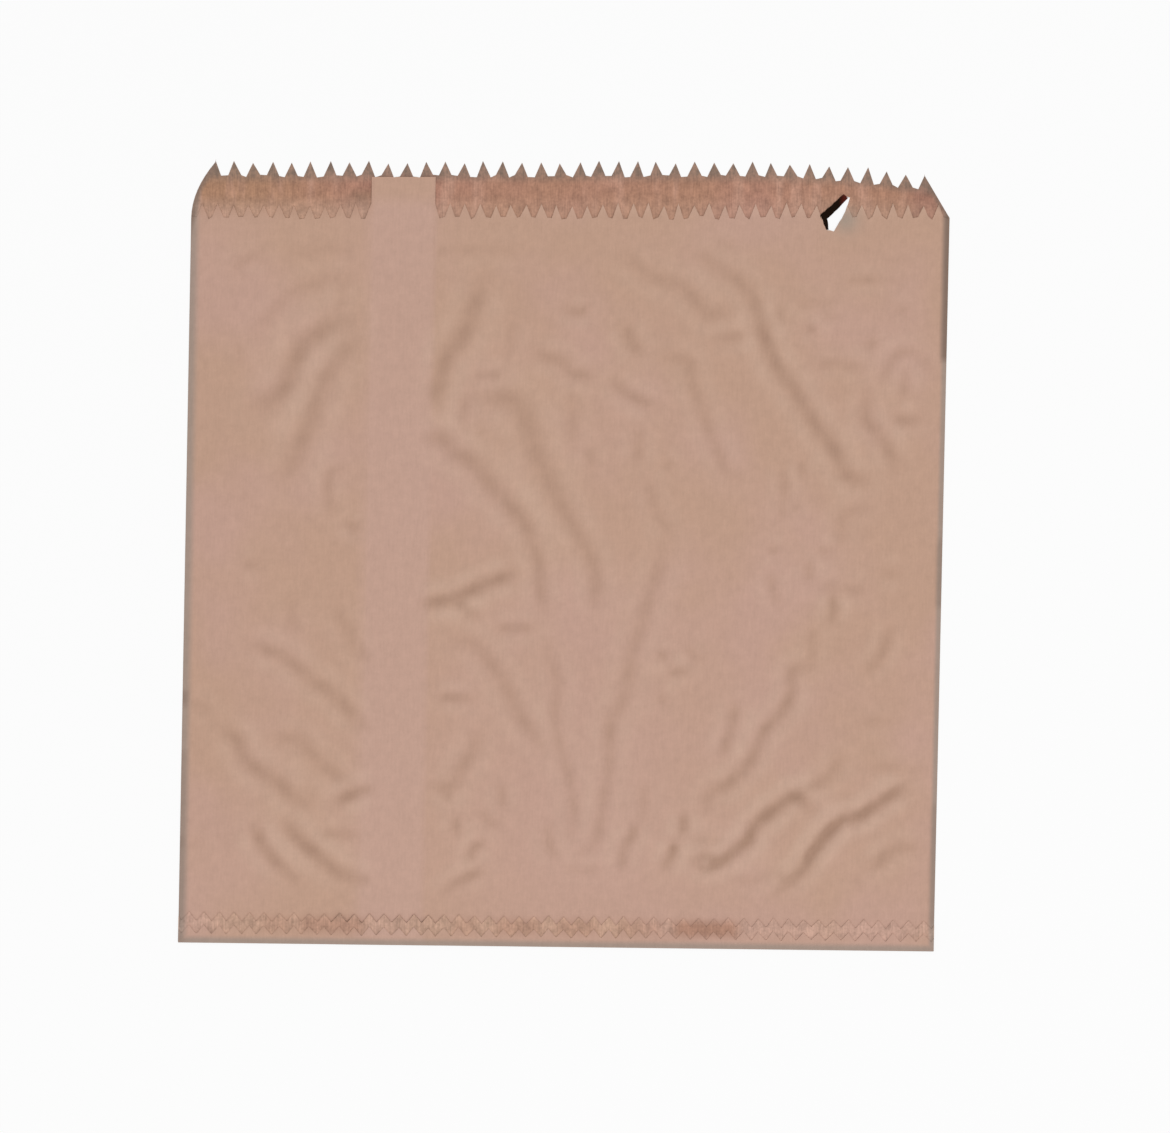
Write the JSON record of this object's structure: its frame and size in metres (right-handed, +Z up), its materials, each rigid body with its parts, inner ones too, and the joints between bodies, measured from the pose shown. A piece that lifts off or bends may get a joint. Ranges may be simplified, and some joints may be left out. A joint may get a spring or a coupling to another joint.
{
  "type": "flat paper lunch bag",
  "caption": "Flat brown kraft paper lunch bag with a lapped seam, pinked lipped mouth, folded bottom and a torn hole near one corner.",
  "frame": {"origin": "centre of the bag's bounding box, on the flat underside of its plain far side", "axes": "+Z up out of the seam side, +Y from the folded bottom to the pinked mouth, +X to the right with the seam side up"},
  "size_m": [0.2, 0.2092, 0.0025],
  "materials": {
    "kraft_paper": "matt, wrinkled"
  },
  "bodies": {
    "root": {"paper_bag": "kraft_paper"}
  },
  "joints": []
}
